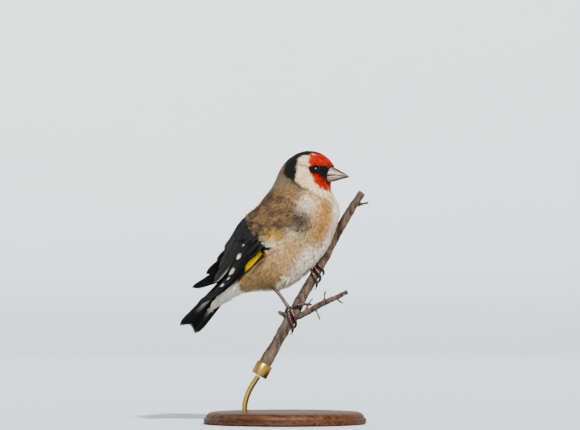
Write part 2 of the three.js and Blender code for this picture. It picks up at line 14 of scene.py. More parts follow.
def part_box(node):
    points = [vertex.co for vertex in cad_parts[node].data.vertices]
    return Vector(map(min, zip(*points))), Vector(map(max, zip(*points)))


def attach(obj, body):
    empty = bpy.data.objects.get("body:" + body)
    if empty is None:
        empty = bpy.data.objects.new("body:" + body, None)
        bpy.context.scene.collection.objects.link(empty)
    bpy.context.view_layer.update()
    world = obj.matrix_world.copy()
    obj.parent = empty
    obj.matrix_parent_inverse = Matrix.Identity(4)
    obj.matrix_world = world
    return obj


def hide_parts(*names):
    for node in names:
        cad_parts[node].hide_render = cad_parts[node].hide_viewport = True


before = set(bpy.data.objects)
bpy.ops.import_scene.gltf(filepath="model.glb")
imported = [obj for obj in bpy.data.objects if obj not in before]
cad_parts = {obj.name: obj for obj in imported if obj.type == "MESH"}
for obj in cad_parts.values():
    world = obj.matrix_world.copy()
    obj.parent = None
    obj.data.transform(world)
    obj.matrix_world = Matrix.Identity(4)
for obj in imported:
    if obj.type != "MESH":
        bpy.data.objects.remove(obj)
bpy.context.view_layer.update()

# %% [markdown]
# Sizes of a small bird are easiest to think of in millimetres, so the arrays hold millimetres and
# are turned to metres when a mesh is made. Colours are written as sRGB hex and turned to linear.

# %% Units, colours and small helpers
MM = 0.001
SAME_POINT = 0.00001
rng = np.random.default_rng(7)


def linear(code):
    values = [int(code[i:i + 2], 16) / 255 for i in (0, 2, 4)]
    return np.array([v / 12.92 if v <= 0.04045 else ((v + 0.055) / 1.055) ** 2.4 for v in values])


def ramp(value, low, high):
    t = np.clip((value - low) / (high - low), 0, 1)
    return t * t * (3 - 2 * t)


def unit(vectors):
    return vectors / np.maximum(np.linalg.norm(vectors, axis=-1, keepdims=True), 1e-9)


def box_centre(name):
    low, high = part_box(name)
    return np.array((low + high) / 2) / MM


def choose(*objects):
    bpy.ops.object.select_all(action="DESELECT")
    for thing in objects:
        thing.select_set(True)
    bpy.context.view_layer.objects.active = objects[0]


def placed(name, data):
    made = bpy.data.objects.new(name, data)
    bpy.context.scene.collection.objects.link(made)
    return made


def node(tree, kind, values=None, links=None, **settings):
    made = tree.nodes.new(kind)
    for key, value in settings.items():
        setattr(made, key, value)
    for key, value in (values or {}).items():
        made.inputs[key].default_value = value
    for key, socket in (links or {}).items():
        tree.links.new(socket, made.inputs[key])
    return made


# %% [markdown]
# A mesh of thousands of feathers is far too many for operators, so those pieces come from arrays
# of points, faces, colours and UV places, joined into one mesh from the start.

# %% Meshes from arrays
def paint_points(mesh, colours):
    layer = mesh.color_attributes.new("coat", "FLOAT_COLOR", "POINT")
    full = np.concatenate([colours, np.ones((len(colours), 1))], axis=1)
    layer.data.foreach_set("color", full.astype(np.float32).ravel())


def mesh_from_arrays(name, points, faces, colours=None, uv=None, uv_name="OFBake"):
    mesh = bpy.data.meshes.new(name)
    sides = faces.shape[1]
    mesh.vertices.add(len(points))
    mesh.vertices.foreach_set("co", (points * MM).astype(np.float32).ravel())
    mesh.loops.add(faces.size)
    mesh.loops.foreach_set("vertex_index", faces.astype(np.int32).ravel())
    mesh.polygons.add(len(faces))
    mesh.polygons.foreach_set("loop_start", np.arange(0, faces.size, sides, dtype=np.int32))
    mesh.polygons.foreach_set("use_smooth", np.ones(len(faces), dtype=bool))
    mesh.update(calc_edges=True)
    if colours is not None:
        paint_points(mesh, colours)
    if uv is not None:
        layer = mesh.uv_layers.new(name=uv_name)
        layer.data.foreach_set("uv", uv[faces.ravel()].astype(np.float32).ravel())
    return placed(name, mesh)


def finish_piece(piece, slot, material, *replaced):
    piece.data.materials.clear()
    piece.data.materials.append(material)
    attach(piece, "root")
    if replaced:
        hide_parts(*replaced)


def added(name, primitive, **size):
    bpy.ops.object.select_all(action="DESELECT")
    primitive(**size)
    bpy.context.active_object.name = name
    return bpy.context.active_object


def edit_all(piece, *steps):
    choose(piece)
    bpy.ops.object.mode_set(mode="EDIT")
    bpy.ops.mesh.select_all(action="SELECT")
    for step in steps:
        step()
    bpy.ops.object.mode_set(mode="OBJECT")


def face_outward():
    bpy.ops.mesh.normals_make_consistent(inside=False)


def copy_of_node(name):
    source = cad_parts[name]
    made = source.copy()
    made.data = source.data.copy()
    made.parent = None
    made.name = name + "_copy"
    bpy.context.scene.collection.objects.link(made)
    edit_all(made, lambda: bpy.ops.mesh.remove_doubles(threshold=SAME_POINT))
    return made


def modify(piece, kind, **settings):
    choose(piece)
    modifier = piece.modifiers.new(kind.title(), kind)
    for key, value in settings.items():
        setattr(modifier, key, value)
    bpy.ops.object.modifier_apply(modifier=modifier.name)


def triples(items, key):
    flat = np.empty(len(items) * 3, dtype=np.float32)
    items.foreach_get(key, flat)
    return flat.reshape(-1, 3).astype(float)


def points_of(piece):
    return triples(piece.data.vertices, "co") / MM


def normals_of(piece):
    return triples(piece.data.vertex_normals, "vector")


def tree_of(piece):
    return BVHTree.FromPolygons([tuple(p) for p in points_of(piece)],
                                [tuple(face.vertices) for face in piece.data.polygons])


def set_points(piece, points):
    piece.data.vertices.foreach_set("co", (points * MM).astype(np.float32).ravel())
    piece.data.update()


def start_material(name):
    made = bpy.data.materials.new(name)
    made.use_nodes = True
    return made, made.node_tree, made.node_tree.nodes["Principled BSDF"]


def finish_material(tree, shader, mix, bump, **settings):
    tree.links.new(mix.outputs[2], shader.inputs["Base Color"])
    if bump:
        tree.links.new(bump.outputs[0], shader.inputs["Normal"])
    for key, value in settings.items():
        shader.inputs[key.replace("_", " ")].default_value = value


def painted_finish(tree, shader, pattern, low, high, relief, **settings):
    paint = node(tree, "ShaderNodeAttribute", attribute_name="coat")
    shade = node(tree, "ShaderNodeMapRange", {"To Min": low, "To Max": high}, {"Value": pattern})
    colour = node(tree, "ShaderNodeMix", {0: 1.0}, {6: paint.outputs["Color"], 7: shade.outputs[0]},
                  data_type="RGBA", blend_type="MULTIPLY")
    bump = node(tree, "ShaderNodeBump", {"Strength": relief, "Distance": 0.0002}, {"Height": pattern})
    finish_material(tree, shader, colour, bump, **settings)


# %% [markdown]
# The photo is a telephoto shot, level with the bird and from a little ahead of its right side.
# A long lens three metres away gives the same flat perspective. The bird stands on a pale floor
# that curves up into a pale wall all round, so that every side has the same plain background.

# %% Camera and room
VIEW_TURN = math.radians(20)
VIEW_DISTANCE = 3.0
PIXELS_PER_MM = 1.85
PHOTO_WIDTH = 580
AIM = Vector((0.0029, 0.0, 0.113))
back = Vector((math.sin(VIEW_TURN), -math.cos(VIEW_TURN), 0))
lens_data = bpy.data.cameras.new("camera")
lens_data.sensor_width = 36
lens_data.lens = 36 * VIEW_DISTANCE / (PHOTO_WIDTH / PIXELS_PER_MM * MM)
camera = placed("camera", lens_data)
camera.location = AIM + back * VIEW_DISTANCE
camera.rotation_euler = (-back).to_track_quat("-Z", "Y").to_euler()
bpy.context.scene.camera = camera
print("lens", round(lens_data.lens, 1), "mm")

FLOOR_RADIUS = 5.0
COVE_RADIUS = 2
COVE_STEPS = 8
WALL_HEIGHT = 5
room = added("room", bpy.ops.mesh.primitive_circle_add, vertices=96, radius=FLOOR_RADIUS, fill_type="NGON")


def extrude_ring(rise, widen=1):
    bpy.ops.mesh.extrude_region_move(TRANSFORM_OT_translate={"value": (0, 0, rise)})
    bpy.ops.transform.resize(value=(widen, widen, 1))


def raise_wall():
    bpy.ops.mesh.select_mode(type="EDGE")
    bpy.ops.mesh.select_all(action="DESELECT")
    bpy.ops.mesh.select_non_manifold()
    last, height = FLOOR_RADIUS, 0
    for step in range(1, COVE_STEPS + 1):
        turn = math.radians(90 * step / COVE_STEPS)
        wide, top = FLOOR_RADIUS + COVE_RADIUS * math.sin(turn), COVE_RADIUS * (1 - math.cos(turn))
        extrude_ring(top - height, wide / last)
        last, height = wide, top
    extrude_ring(WALL_HEIGHT)


edit_all(room, raise_wall)
bpy.ops.object.shade_smooth()
room.visible_shadow = False

# %% [markdown]
# Matt painted board in a pale sky grey: the photo's clear sky becomes a quiet studio backdrop. The
# small lamp above the camera gives the eye its catchlight, so it is hidden from matt light.

# %% Room finish and light
board, tree, shader = start_material("matt_painted_board")
place = node(tree, "ShaderNodeTexCoord")
mottle = node(tree, "ShaderNodeTexNoise", {"Scale": 1.5, "Detail": 3.0}, {"Vector": place.outputs["Object"]})
tint = node(tree, "ShaderNodeMix", {6: (*linear("d3dde7"), 1), 7: (*linear("dbe4ec"), 1)},
            {0: mottle.outputs[0]}, data_type="RGBA")
finish_material(tree, shader, tint, None, Roughness=0.9)
room.data.materials.append(board)

world = bpy.data.worlds.new("soft_sky")
world.use_nodes = True
world.node_tree.nodes["Background"].inputs["Color"].default_value = (*linear("dfe8f3"), 1)
world.node_tree.nodes["Background"].inputs["Strength"].default_value = 0.55
bpy.context.scene.world = world
bpy.context.scene.view_settings.look = "AgX - Medium High Contrast"


def lamp(name, kind, energy, direction, size, distance=1.2, colour="ffffff"):
    data = bpy.data.lights.new(name, kind)
    data.energy = energy
    data.color = linear(colour)
    if kind == "AREA":
        data.size = size
    else:
        data.angle = math.radians(size)
    made = placed(name, data)
    aim = Vector(direction).normalized()
    made.location = Vector((0, 0, 0.1)) + aim * distance
    made.rotation_euler = (-aim).to_track_quat("-Z", "Y").to_euler()
    return made


lamp("key_sun", "SUN", 4.6, (0.62, -0.62, 0.72), size=3, colour="fff4e6")
lamp("fill", "AREA", 1.6, (-0.9, -0.6, 0.5), size=1.2, colour="eef4ff")
eye_light = lamp("eye_light", "AREA", 32, (0.16, -0.89, 0.43), distance=1.5, size=0.2)
eye_light.visible_diffuse = False
lamp("back_fill", "AREA", 2.5, (-0.2, 1.0, 0.7), size=1.4, colour="f3f6ff")

# %% [markdown]
# The folded wing is a curved strip. It runs from the wrist, hidden in the breast feathers, to the
# wing's tip; its lower edge is the edge of the longest feathers and its upper edge lies on the back.
# Each row: how far along, the lower edge's place, the upper edge's place, and the curve's height.

# %% The surface that a folded wing lies on
WING_ROWS = [
    (-0.75, (18.5, -18.6, 111.0), (6.5, -16.6, 122.8), 1.6),
    (-0.35, (8.0, -21.6, 101.5), (-13.5, -11.0, 119.4), 3.4),
    (0.0, (-4.0, -20.4, 94.6), (-26.2, -5.2, 110.0), 4.6),
    (0.25, (-16.0, -17.6, 83.4), (-31.6, -5.0, 99.4), 3.6),
    (0.5, (-27.0, -14.4, 75.3), (-35.6, -5.0, 89.2), 2.6),
    (0.75, (-37.3, -13.0, 69.6), (-38.4, -7.0, 79.2), 1.6),
    (1.0, (-46.9, -13.4, 65.8), (-44.4, -11.0, 71.4), 0.8),
]
LEFT_WING_LIFT = Vector((-10.3, -3.2, 8.4))
LEFT_WING_LIFT_CURVE = 0.8
WING_STEP = 0.04
RIGHT, LEFT = -1, 1


def wing_row(along):
    index = max(i for i in range(len(WING_ROWS) - 1) if i == 0 or WING_ROWS[i][0] <= along)
    start, end = WING_ROWS[index], WING_ROWS[index + 1]
    t = (along - start[0]) / (end[0] - start[0])
    lower, upper = (Vector(start[edge]).lerp(end[edge], t) for edge in (1, 2))
    return lower, upper, start[3] + (end[3] - start[3]) * t


def wing_frame(along, across, side):
    lower, upper, crown = wing_row(along)
    ahead = wing_row(along + WING_STEP)
    behind = wing_row(along - WING_STEP)
    step = ahead[0].lerp(ahead[1], across) - behind[0].lerp(behind[1], across)
    out = (upper - lower).cross(step).normalized()
    if out.y > 0:
        out = -out
    inside = min(max(across, 0), 1)
    point = lower.lerp(upper, across) + out * (crown * math.sin(math.pi * inside))
    if side == LEFT:
        point.y, out.y = -point.y, -out.y
        point += LEFT_WING_LIFT * float(ramp(along, -0.1, 1.1)) ** LEFT_WING_LIFT_CURVE
    return point, out


def wing_point(along, across, depth, side):
    point, out = wing_frame(along, across, side)
    return point - out * depth


# %% [markdown]
# A flight feather is a thin vane on a shaft. Each is a strip of quads that arches down on both
# sides of a raised shaft, closed underneath, and painted point by point.

# %% One vane, placed by a function that says where its points go
VANE_STEPS = 18
VANE_LANES = 8
VANE_THICKNESS = 0.14
VANE_ARCH = 0.16
SHAFT_HEIGHT = 0.1
QUILL_WIDTH, WIDENING = 0.45, 2.2
TIP_WIDTH = 0.03
NOTCH = 0.07
BARB_LEAN = 0.25
UV_WIDTH, UV_LENGTH = 20, 60
WING_CURVE = 0.022
ROOT_END = 0.38
BLACK = linear("09080a")
BROWN_BLACK = linear("1a1512")
YELLOW = linear("f0c40a")
WHITE = linear("ece8e0")
BUFF_EDGE = linear("5d4b3b")
PALE_STREAK = linear("9a938c")


class Vanes:
    def __init__(self):
        self.points, self.faces, self.colours, self.uv = [], [], [], []
        self.count = 0

    def add(self, place, length, half, paint, blunt, seed):
        lanes = np.linspace(-1, 1, VANE_LANES + 1)
        steps = np.linspace(0, 1, VANE_STEPS + 1) ** 0.9
        jitter = np.random.default_rng(seed)
        notch = 1 - NOTCH * jitter.random(VANE_STEPS + 1)
        start = self.count
        rounding = blunt * 0.3
        for under in (0, 1):
            for row, t in enumerate(steps):
                tip = math.sqrt(max(0.0, 1 - max(0.0, (t - 1 + rounding) / rounding) ** 2))
                wide = half * min(1, QUILL_WIDTH + WIDENING * t) * max(tip, TIP_WIDTH) * notch[row]
                for lane in lanes:
                    arch = VANE_ARCH * (1 - lane * lane) * half / 3
                    shaft = SHAFT_HEIGHT if abs(lane) < 0.01 and not under else 0
                    lean = BARB_LEAN * half * (abs(lane) - 0.5) / length * (1 if t < 0.98 else 0)
                    at = min(max(t - lean * 0.4, 0), 1)
                    self.points.append(place(at, lane * wide, arch + shaft - under * VANE_THICKNESS))
                    self.colours.append(paint(t, lane))
                    self.uv.append((lane * wide / UV_WIDTH + 0.5, t * length / UV_LENGTH))
        width = VANE_LANES + 1
        layer = width * (VANE_STEPS + 1)
        for row in range(VANE_STEPS):
            for lane in range(VANE_LANES):
                a = start + row * width + lane
                self.faces.append((a, a + 1, a + 1 + width, a + width))
                b = a + layer
                self.faces.append((b, b + width, b + 1 + width, b + 1))
            for edge, turn in ((0, 1), (VANE_LANES, -1)):
                a = start + row * width + edge
                loop = (a, a + width, a + width + layer, a + layer)
                self.faces.append(loop if turn > 0 else loop[::-1])
        for lane in range(VANE_LANES):
            for row, turn in ((0, -1), (VANE_STEPS, 1)):
                a = start + row * width + lane
                loop = (a, a + 1, a + 1 + layer, a + layer)
                self.faces.append(loop if turn < 0 else loop[::-1])
        self.count += 2 * layer

    def piece(self, name):
        points = np.array([tuple(p) for p in self.points])
        made = mesh_from_arrays(name, points, np.array(self.faces), np.array(self.colours),
                                np.array(self.uv), "VaneMap")
        edit_all(made, face_outward)
        print(name, len(made.data.polygons), "faces")
        return made


def wing_vane(vanes, side, root, tip, half, depth, paint, blunt, seed, root_dip=0.0):
    start, start_out = wing_frame(root[0], root[1], side)
    end, end_out = wing_frame(tip[0], tip[1], side)
    shaft = end - start

    def place(t, across, height):
        along, up = (root[i] + (tip[i] - root[i]) * t for i in (0, 1))
        surface, out = wing_frame(along, up, side)
        out = (out * 0.5 + start_out.lerp(end_out, t)).normalized()
        middle = start + shaft * t
        middle += out * (surface - middle).dot(out)
        upward = out.cross(shaft).normalized() * side
        sink = WING_CURVE * across * across + root_dip * max(0.0, 1 - t / ROOT_END)
        return middle + upward * across + out * (height - depth - sink)
    vanes.add(place, shaft.length, half, paint, blunt, seed)


# %% [markdown]
# The wing's marks: the outer flight feathers are black with a yellow base on the outer side, which
# makes the yellow bar. The inner ones end in a white spot, and the last three are browner.

# %% Painting the wing feathers
def paint_flight(spot=None, yellow=0.0):
    def paint(t, lane):
        colour = BLACK * (0.85 + 0.3 * abs(lane))
        outer = ramp(-lane, 0.05, 0.3)
        bar = outer * (1 - ramp(t, yellow - 0.03, yellow + 0.03)) if yellow else 0
        colour = colour * (1 - bar) + YELLOW * bar
        if spot:
            oval = ((t - 1 + spot[0] * 1.15) / spot[0]) ** 2 + ((lane - spot[2]) / spot[1]) ** 2
            size = spot[3] * (1 - ramp(oval, 0.55, 1.15))
            colour = colour * (1 - size) + WHITE * size
        return colour
    return paint


PRIMARIES = 8
SECONDARY_TIPS = [
    (0.13, 0.43, (0.09, 0.24, -0.3, 0.75)), (0.27, 0.36, (0.1, 0.58, -0.2, 0.95)),
    (0.465, 0.265, (0.085, 0.66, -0.2, 0.72)), (0.525, 0.215, (0.03, 0.38, -0.1, 0.95)),
    (0.65, 0.2, (0.03, 0.5, -0.1, 0.95)),
]
TERTIALS = {
    RIGHT: [(0.6, (0.77, 0.82), 3.3), (0.72, (0.6, 0.88), 3.4), (0.86, (0.42, 0.92), 3.2)],
    LEFT: [(0.55, (0.8, 0.56), 3.2), (0.68, (0.6, 0.66), 3.4), (0.82, (0.42, 0.78), 3.4)],
}
INNER_ROOT = -0.12
PRIMARY_SPREAD = {RIGHT: (0.19, 0.07), LEFT: (0.42, 0.28)}
GREATER_COVERTS = 10
SHORT_COVERTS = (0, 3, 4, 5)
COVERT_DIP = 1.8


def paint_tertial(streak):
    def paint(t, lane):
        colour = BROWN_BLACK * (0.8 + 0.5 * abs(lane))
        rim = 0.45 * ramp(abs(lane), 0.75, 0.95)
        colour = colour * (1 - rim) + BUFF_EDGE * rim
        pale = streak * ramp(-lane, 0.62, 0.82) * ramp(t, 0.66, 0.76)
        return colour * (1 - pale) + PALE_STREAK * pale
    return paint


def build_wing(side, name):
    flights = Vanes()
    for i in range(PRIMARIES):
        t = i / (PRIMARIES - 1)
        across, closing = PRIMARY_SPREAD[side]
        tip = (0.68 + 0.33 * t ** 0.8, across - closing * t)
        root = (0.0, 0.24 - 0.17 * t)
        paint = paint_flight((0.014, 0.4, 0, 0.7) if i == 4 else None, yellow=0.33 if t > 0.4 else 0.0)
        wing_vane(flights, side, root, tip, 2.4 - 0.3 * t, 2.4 + 0.1 * i, paint, 0.4, i)
    for i, (along, across, spot) in enumerate(SECONDARY_TIPS[::-1]):
        root = (INNER_ROOT, 0.2 + 0.075 * i)
        wing_vane(flights, side, root, (along, across), 2.6, 2.2 - 0.12 * i, paint_flight(spot), 0.8, 20 + i)
    for i, (across, tip, half) in enumerate(TERTIALS[side]):
        paint = paint_tertial(0.8 if i == 0 else 0)
        wing_vane(flights, side, (INNER_ROOT, across), tip, half, 1.55 - 0.25 * i, paint, 0.8, 30 + i)
    for i in range(GREATER_COVERTS):
        across = 0.04 + 0.09 * i
        tip = (0.12 + 0.02 * ((i * 5) % 3) - (0.07 if i in SHORT_COVERTS else 0), across)
        wing_vane(flights, side, (-0.16, across + 0.03), tip, 2.3, 1.15 - 0.06 * (i % 2), paint_flight(),
                  0.9, 40 + i, COVERT_DIP)
    return flights.piece("wing_" + name + "_feathers")


# %% [markdown]
# Feather keratin is satin: black vanes have a faint gloss, and the barbs run slantwise from the
# shaft. They are drawn about a tenth of a millimetre apart, which only a close view shows.

# %% Finish of the long feathers
BARB_SCALE = 4
VANE, tree, shader = start_material("keratin_vane_barbed")
uv = node(tree, "ShaderNodeUVMap", uv_map="VaneMap")
turned = node(tree, "ShaderNodeMapping", {"Scale": (BARB_SCALE * UV_WIDTH, BARB_SCALE * UV_LENGTH, 1)},
              {"Vector": uv.outputs[0]})
barbs = node(tree, "ShaderNodeTexWave", {"Scale": 1.0, "Distortion": 1.5, "Detail": 2.0},
             {"Vector": turned.outputs[0]}, bands_direction="DIAGONAL")
painted_finish(tree, shader, barbs.outputs["Fac"], 0.75, 1.2, 0.35, Roughness=0.55, Specular_IOR_Level=0.22)
wing_pieces = []
for side, name in ((RIGHT, "right"), (LEFT, "left")):
    feathers = build_wing(side, name)
    finish_piece(feathers, "flight_feathers", VANE, f"wing_{name}_primaries", f"wing_{name}_secondaries")
    wing_pieces.append(feathers)

# %% [markdown]
# Twelve tail feathers in six pairs, the middle pair on top and the outer ones a little longer, which
# forks the tail. They are black, with paler ends and, in two outer pairs, a pale patch inside.

# %% The tail
TAIL_ROOT = Vector((-27.5, 0, 83.6))
TAIL_LENGTH = 41.2
TAIL_FORK = 3.2
TAIL_SPREAD = 5
TAIL_ROLL = math.radians(33)
TAIL_DROOP = math.radians(47.5)
TAIL_PAIRS = 6
TAIL_HALF = 2.6
TAIL_PATCH = {4: 0.4 * 0.32, 5: 0.32}
tail_back = Vector((-math.cos(TAIL_DROOP), 0, -math.sin(TAIL_DROOP)))
level_right = Vector((0, -1, 0))
tail_right = level_right * math.cos(TAIL_ROLL) + tail_back.cross(level_right) * math.sin(TAIL_ROLL)
tail_up = tail_back.cross(tail_right).normalized()
if tail_up.z < 0:
    tail_up.negate()


def tail_vane(vanes, order, side):
    share = (order + 0.5) / TAIL_PAIRS
    fan = math.radians(TAIL_SPREAD * share) * side
    aim = tail_back * math.cos(fan) + tail_right * math.sin(fan)
    sideways = tail_up.cross(aim).normalized()
    length = TAIL_LENGTH + TAIL_FORK * share ** 1.5
    under = 0.2 * order + (0 if side > 0 else 0.08)
    root = TAIL_ROOT + tail_right * (TAIL_HALF * share * side) - tail_up * under

    def place(t, across, height):
        sag = 0.6 * math.sin(math.pi * t) * share
        lift = height - 0.02 * across * across - sag
        return root + aim * (length * t) + sideways * across + tail_up * lift

    def paint(t, lane):
        colour = BLACK * 1.15
        inner = ramp(lane * -side * (1 if sideways.dot(tail_right) > 0 else -1), -0.1, 0.3)
        patch = inner * ramp(t, 0.42, 0.5) * (1 - ramp(t, 0.62, 0.76)) * TAIL_PATCH.get(order, 0)
        tip = ramp(t, 0.955, 0.99) * 0.45
        rim = 0.3 * ramp(abs(lane), 0.75, 1.0)
        colour = colour * (1 - rim) + BUFF_EDGE * rim
        white = max(patch, tip)
        return colour * (1 - white) + WHITE * white

    vanes.add(place, length, TAIL_HALF, paint, 0.5, 60 + order * 2 + (side > 0))


tail = Vanes()
for order in range(TAIL_PAIRS):
    for side in (1, -1):
        tail_vane(tail, order, side)
tail_piece = tail.piece("tail_feathers")
finish_piece(tail_piece, "flight_feathers", VANE, "tail")

# %% [markdown]
# The skin under the feathers is one piece. Copies of the solids of flesh are swollen a little so
# that they touch, fused by a voxel remesh, smoothed, and then drawn in by the depth of the coat.
# It is also pressed below the wings' long feathers and back from the root of the bill.

# %% One skin from the solids of flesh
FLESH = ["head", "neck", "trunk", "rump", "thigh_right", "wing_right_coverts", "wing_left_coverts"]
SWELL = 0.35
VOXEL = 0.6
PAD_END = -0.04
PAD_FLOOR = 1.65
COAT_BODY, COAT_HEAD = 1.45, 0.45
NECK_FOOT, NECK_TOP = 122, 130
FACE = np.array([26, 0, 135])
FACE_PRESS = 0.85


def cut_wing_pad(piece, side):
    middle = wing_point(PAD_END, 0.5, 0, side)
    aim = (wing_point(PAD_END + 0.2, 0.5, 0, side) - middle).normalized()
    edit_all(piece, lambda: bpy.ops.mesh.bisect(plane_co=middle * MM, plane_no=aim,
                                                clear_outer=True, use_fill=True))


copies = [copy_of_node(name) for name in FLESH]
cut_wing_pad(copies[5], RIGHT)
cut_wing_pad(copies[6], LEFT)
for copy in copies:
    modify(copy, "DISPLACE", strength=SWELL * MM, mid_level=0)
choose(*copies)
bpy.ops.object.join()
skin = bpy.context.active_object
skin.name = "skin"
modify(skin, "REMESH", mode="VOXEL", voxel_size=VOXEL * MM)
group = skin.vertex_groups.new(name="body")
for vertex in skin.data.vertices:
    group.add([vertex.index], float(1 - ramp(vertex.co.z / MM, NECK_FOOT, NECK_TOP)), "REPLACE")
modify(skin, "SMOOTH", factor=0.5, iterations=4)
modify(skin, "SMOOTH", factor=0.5, iterations=24, vertex_group="body")
shoulder = skin.vertex_groups.new(name="shoulder")
for vertex in skin.data.vertices:
    away = (Vector((vertex.co.x, abs(vertex.co.y), vertex.co.z)) / MM - Vector((1, 14, 120))).length
    shoulder.add([vertex.index], math.exp(-(away / 11) ** 2), "REPLACE")
modify(skin, "SMOOTH", factor=0.5, iterations=120, vertex_group="shoulder")


def near_face(points, reach):
    return np.exp(-(np.linalg.norm(points - FACE, axis=1) / reach) ** 2)


def coat_depth(points):
    head = ramp(points[:, 2], NECK_FOOT, NECK_TOP)
    face = near_face(points, 7)
    return COAT_BODY + (COAT_HEAD - COAT_BODY) * head - 0.25 * face


points = points_of(skin)
points = points - normals_of(skin) * (coat_depth(points) + SWELL)[:, None]


def wing_floor(side):
    across = np.linspace(-0.05, 1.05, 23)
    along = np.linspace(-0.3, 1.0, 40)
    grid = [tuple(wing_point(a, b, PAD_FLOOR, side)) for a in along for b in across]
    outs = [wing_frame(a, b, side)[1] for a in along for b in across]
    faces = []
    for i in range(len(along) - 1):
        for j in range(len(across) - 1):
            corner = i * len(across) + j
            faces.append((corner, corner + 1, corner + 1 + len(across), corner + len(across)))
    return BVHTree.FromPolygons(grid, faces), outs, faces


for side in (RIGHT, LEFT):
    floor_tree, outs, faces = wing_floor(side)
    for index, point in enumerate(points):
        near, _, face, distance = floor_tree.find_nearest(Vector(point), 4.0)
        if near is not None:
            out = outs[faces[face][0]]
            above = (Vector(point) - near).dot(out)
            if above > 0 and above > distance * 0.8:
                points[index] = np.array(near)
face_edge = np.interp(points[:, 2], [127.5, 130, 131, 134.5, 138, 139.6, 141],
                      [29, 25.2, 24.6, 25.3, 26.4, 27.4, 29])
beyond = np.maximum(points[:, 0] - face_edge, 0)
points[:, 0] -= beyond * FACE_PRESS
set_points(skin, points)
modify(skin, "SMOOTH", factor=0.5, iterations=3)
edit_all(skin, lambda: bpy.ops.uv.smart_project(angle_limit=math.radians(66), island_margin=0.004))
skin.data.uv_layers[0].name = "SkinMap"
bpy.ops.object.shade_smooth()
print("skin", len(skin.data.polygons), "faces")

# %% [markdown]
# The markings are a function of place on the bird, in millimetres: along the body, and around it
# from back to belly. Skin and coat both ask it, so a gap between feathers shows the same colour.

# %% The goldfinch's markings
TONE = {name: linear(code) for name, code in {
    "mantle": "775f43", "mantle_dark": "43342a", "mantle_pale": "a8926e", "nape": "6f604b", "tan": "b69870",
    "buff": "9f7845", "flank": "977c56", "underside_shade": "806848", "belly": "ece3d3", "cream": "e2cfa8",
    "cheek_line": "8f7757", "fluff": "cfc2ac", "grey": "4d4741", "black": "0a090a", "red": "bb280c",
    "red_dark": "5c1006", "rump": "cdbb9f", "vent": "ece4d2", "yellow": "c79f22", "shoulder": "94795a",
}.items()}


def across_noise(points, size, seed=0.0):
    turned = points / size + seed
    waves = np.sin(turned[:, 0] * 2.1 + 1.3 * np.sin(turned[:, 2] * 1.7 + seed))
    waves = waves + np.sin(turned[:, 1] * 2.6 + 1.1 * np.sin(turned[:, 0] * 1.9))
    return (waves + np.sin(turned[:, 2] * 2.3 + 1.2 * np.sin(turned[:, 1] * 2.2 + seed))) / 3


def body_axes(points):
    along = (points[:, 0] + 3) * 0.627 + (points[:, 2] - 100) * 0.779
    vent = (points[:, 0] + 3) * 0.779 - (points[:, 2] - 100) * 0.627
    return along, vent


def mantle_weight(points):
    along, vent = body_axes(points)
    edge = np.interp(along, [-30, -5, 8, 18, 30, 40], [-3, 1, 8.0, 6, -1, -6])
    head = ramp(points[:, 2], 126, 131)
    return (1 - ramp(vent, edge - 2, edge + 2)) * (1 - head), vent - edge


